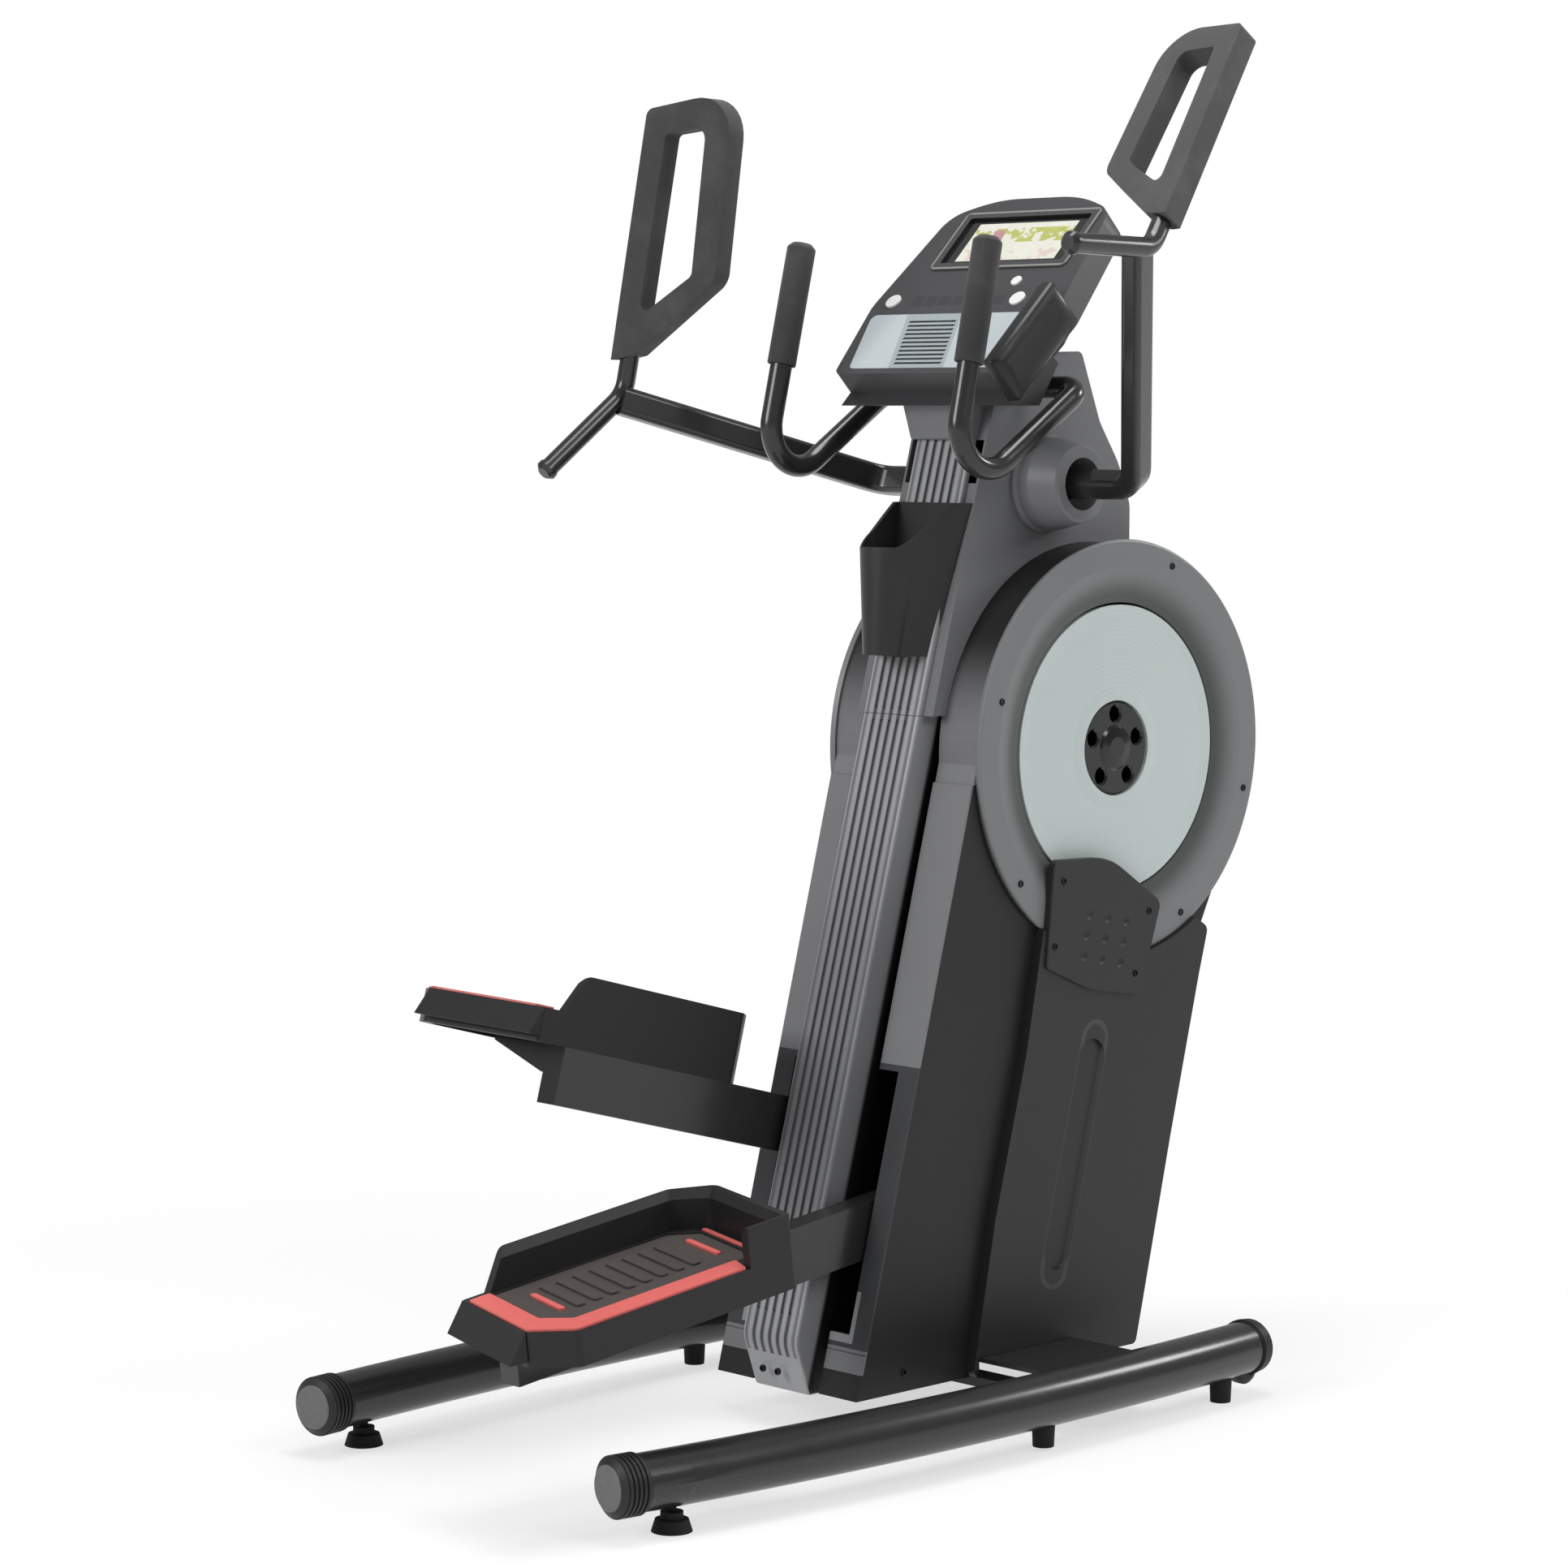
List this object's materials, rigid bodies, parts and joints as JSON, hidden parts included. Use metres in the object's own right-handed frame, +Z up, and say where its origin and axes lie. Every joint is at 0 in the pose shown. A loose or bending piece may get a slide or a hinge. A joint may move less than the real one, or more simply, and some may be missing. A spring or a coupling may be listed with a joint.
{
  "type": "vertical climber machine",
  "caption": "Leaning climber trainer with swinging pedals, coupled hand arms with loop grips, big side discs and a sloping console.",
  "frame": {"origin": "on the floor, under the middle of the whole machine as it stands at rest", "axes": "+Z up, +Y towards the front of the machine, the way the user faces, +X to the user's right"},
  "size_m": [0.949, 1.5618, 1.9736],
  "materials": {
    "casing_grey": "satin",
    "black_satin": "satin",
    "dark_hub": "satin",
    "foam": "matte",
    "base_paint": "satin",
    "machined_steel": "machined",
    "flywheel_iron": "painted",
    "console_dark": "satin",
    "console_light": "satin",
    "cover_charcoal": "fine texture",
    "disc_pale": "satin",
    "housing_dark": "fine texture",
    "key_plastic": "gloss",
    "foot_rubber": "matte",
    "mast_grey": "satin",
    "pedal_plastic": "fine texture",
    "rim_red": "satin",
    "tread_rubber": "ribbed",
    "ring_grey": "satin",
    "screen_glass": "gloss",
    "wheel_plastic": "smooth",
    "cap_plastic": "satin"
  },
  "bodies": {
    "frame": {"arm_bosses": "casing_grey", "bar_grip_left": "foam", "bar_grip_right": "foam", "base_plate": "base_paint", "base_tube_left": "black_satin", "base_tube_right": "black_satin", "clutch_box": "machined_steel", "console_body": "console_dark", "cover_plates": "cover_charcoal", "cross_beams": "base_paint", "cup_holder": "casing_grey", "drive_belt": "foam", "drive_plates": "machined_steel", "front_cover": "housing_dark", "grab_bar_left": "black_satin", "grab_bar_right": "black_satin", "guide_rails": "machined_steel", "head_shroud": "casing_grey", "leg_cover_left": "cover_charcoal", "leg_cover_right": "cover_charcoal", "lower_panel": "console_light", "mast_lower": "mast_grey", "mast_upper": "mast_grey", "rear_strip_left": "casing_grey", "rear_strip_right": "casing_grey", "ring_left": "ring_grey", "ring_right": "ring_grey", "rubber_pads": "foot_rubber", "screen": "screen_glass", "side_housing_left": "housing_dark", "side_housing_right": "housing_dark", "spine": "black_satin", "tube_caps": "cap_plastic"},
    "rotor": {"axle": "dark_hub", "flywheel": "flywheel_iron", "disc_left": "disc_pale", "disc_right": "disc_pale"},
    "clutch_pulley": {"drive_pulley": "machined_steel"},
    "pinion_gear": {"pinion": "machined_steel"},
    "carriage_r": {"carriage_right": "machined_steel"},
    "carriage_l": {"carriage_left": "machined_steel"},
    "pedal_lever_r": {"lever_right": "black_satin", "pedal_right": "pedal_plastic", "pedal_rim_right": "rim_red", "pedal_tread_right": "tread_rubber"},
    "pedal_lever_l": {"lever_left": "black_satin", "pedal_left": "pedal_plastic", "pedal_rim_left": "rim_red", "pedal_tread_left": "tread_rubber"},
    "hand_arm_r": {"arm_right": "black_satin", "loop_grip_right": "foam"},
    "hand_arm_l": {"arm_left": "black_satin", "loop_grip_left": "foam"},
    "foot_r": {"levelling_foot_right": "foot_rubber"},
    "foot_l": {"levelling_foot_left": "foot_rubber"},
    "wheel_r": {"transport_wheel_right": "wheel_plastic"},
    "wheel_l": {"transport_wheel_left": "wheel_plastic"},
    "button_1": {"key_1": "key_plastic"},
    "button_2": {"key_2": "key_plastic"},
    "button_3": {"key_3": "key_plastic"}
  },
  "joints": [
    {"name": "disc_spin", "type": "hinge", "parent": "frame", "child": "rotor", "pos_m": [0, 0.4749, 0.942], "axis": [1, 0, 0], "continuous": true},
    {"name": "pulley_spin", "type": "hinge", "parent": "frame", "child": "clutch_pulley", "pos_m": [0, 0.2944, 0.47], "axis": [1, 0, 0], "continuous": true},
    {"name": "carriage_right_slide", "type": "slide", "parent": "frame", "child": "carriage_r", "axis": [0, 1, 0], "range_m": [-0.0115, 0.2085]},
    {"name": "carriage_left_slide", "type": "slide", "parent": "frame", "child": "carriage_l", "axis": [0, 1, 0], "range_m": [-0.2085, 0.0115]},
    {"name": "pinion_turn", "type": "hinge", "parent": "frame", "child": "pinion_gear", "pos_m": [0, 0.2944, 0.312], "axis": [0, 0, 1], "range_deg": [-12.7, 229.8]},
    {"name": "pedal_right_tilt", "type": "hinge", "parent": "carriage_r", "child": "pedal_lever_r", "pos_m": [0, 0.1959, 0.312], "axis": [1, 0, 0], "range_deg": [-23.61, 1.31]},
    {"name": "pedal_left_tilt", "type": "hinge", "parent": "carriage_l", "child": "pedal_lever_l", "pos_m": [0, 0.3929, 0.312], "axis": [1, 0, 0], "range_deg": [-1.31, 23.61]},
    {"name": "arm_right_swing", "type": "hinge", "parent": "frame", "child": "hand_arm_r", "pos_m": [0, 0.3819, 1.329], "axis": [1, 0, 0], "range_deg": [-2.31, 41.66]},
    {"name": "arm_left_swing", "type": "hinge", "parent": "frame", "child": "hand_arm_l", "pos_m": [0, 0.3819, 1.329], "axis": [1, 0, 0], "range_deg": [-41.66, 2.31]},
    {"name": "foot_right_screw", "type": "hinge", "parent": "frame", "child": "foot_r", "pos_m": [0.31613, -0.5731, 0.02], "axis": [0, 0, 1], "continuous": true},
    {"name": "foot_left_screw", "type": "hinge", "parent": "frame", "child": "foot_l", "pos_m": [-0.31613, -0.5731, 0.02], "axis": [0, 0, 1], "continuous": true},
    {"name": "wheel_right_roll", "type": "hinge", "parent": "frame", "child": "wheel_r", "pos_m": [0.33304, 0.5449, 0.044], "axis": [1, 0, 0], "continuous": true},
    {"name": "wheel_left_roll", "type": "hinge", "parent": "frame", "child": "wheel_l", "pos_m": [-0.33304, 0.5449, 0.044], "axis": [1, 0, 0], "continuous": true},
    {"name": "button_1_press", "type": "slide", "parent": "frame", "child": "button_1", "axis": [0, 0.7071, -0.7071], "range_m": [0, 0.002], "stiffness_N_per_m": 900},
    {"name": "button_2_press", "type": "slide", "parent": "frame", "child": "button_2", "axis": [0, 0.7071, -0.7071], "range_m": [0, 0.002], "stiffness_N_per_m": 900},
    {"name": "button_3_press", "type": "slide", "parent": "frame", "child": "button_3", "axis": [0, 0.7071, -0.7071], "range_m": [0, 0.002], "stiffness_N_per_m": 900}
  ],
  "couplings": [
    {"joint": "pulley_spin", "follows": "disc_spin", "ratio": 0.4},
    {"joint": "carriage_left_slide", "follows": "carriage_right_slide", "ratio": -1},
    {"joint": "pinion_turn", "follows": "carriage_right_slide", "rad_per_m": 19.231},
    {"joint": "pedal_right_tilt", "follows": "carriage_right_slide", "rad_per_m": -1.9757},
    {"joint": "pedal_left_tilt", "follows": "carriage_right_slide", "rad_per_m": 1.9757},
    {"joint": "arm_right_swing", "follows": "carriage_right_slide", "rad_per_m": 3.486},
    {"joint": "arm_left_swing", "follows": "carriage_right_slide", "rad_per_m": -3.486}
  ]
}
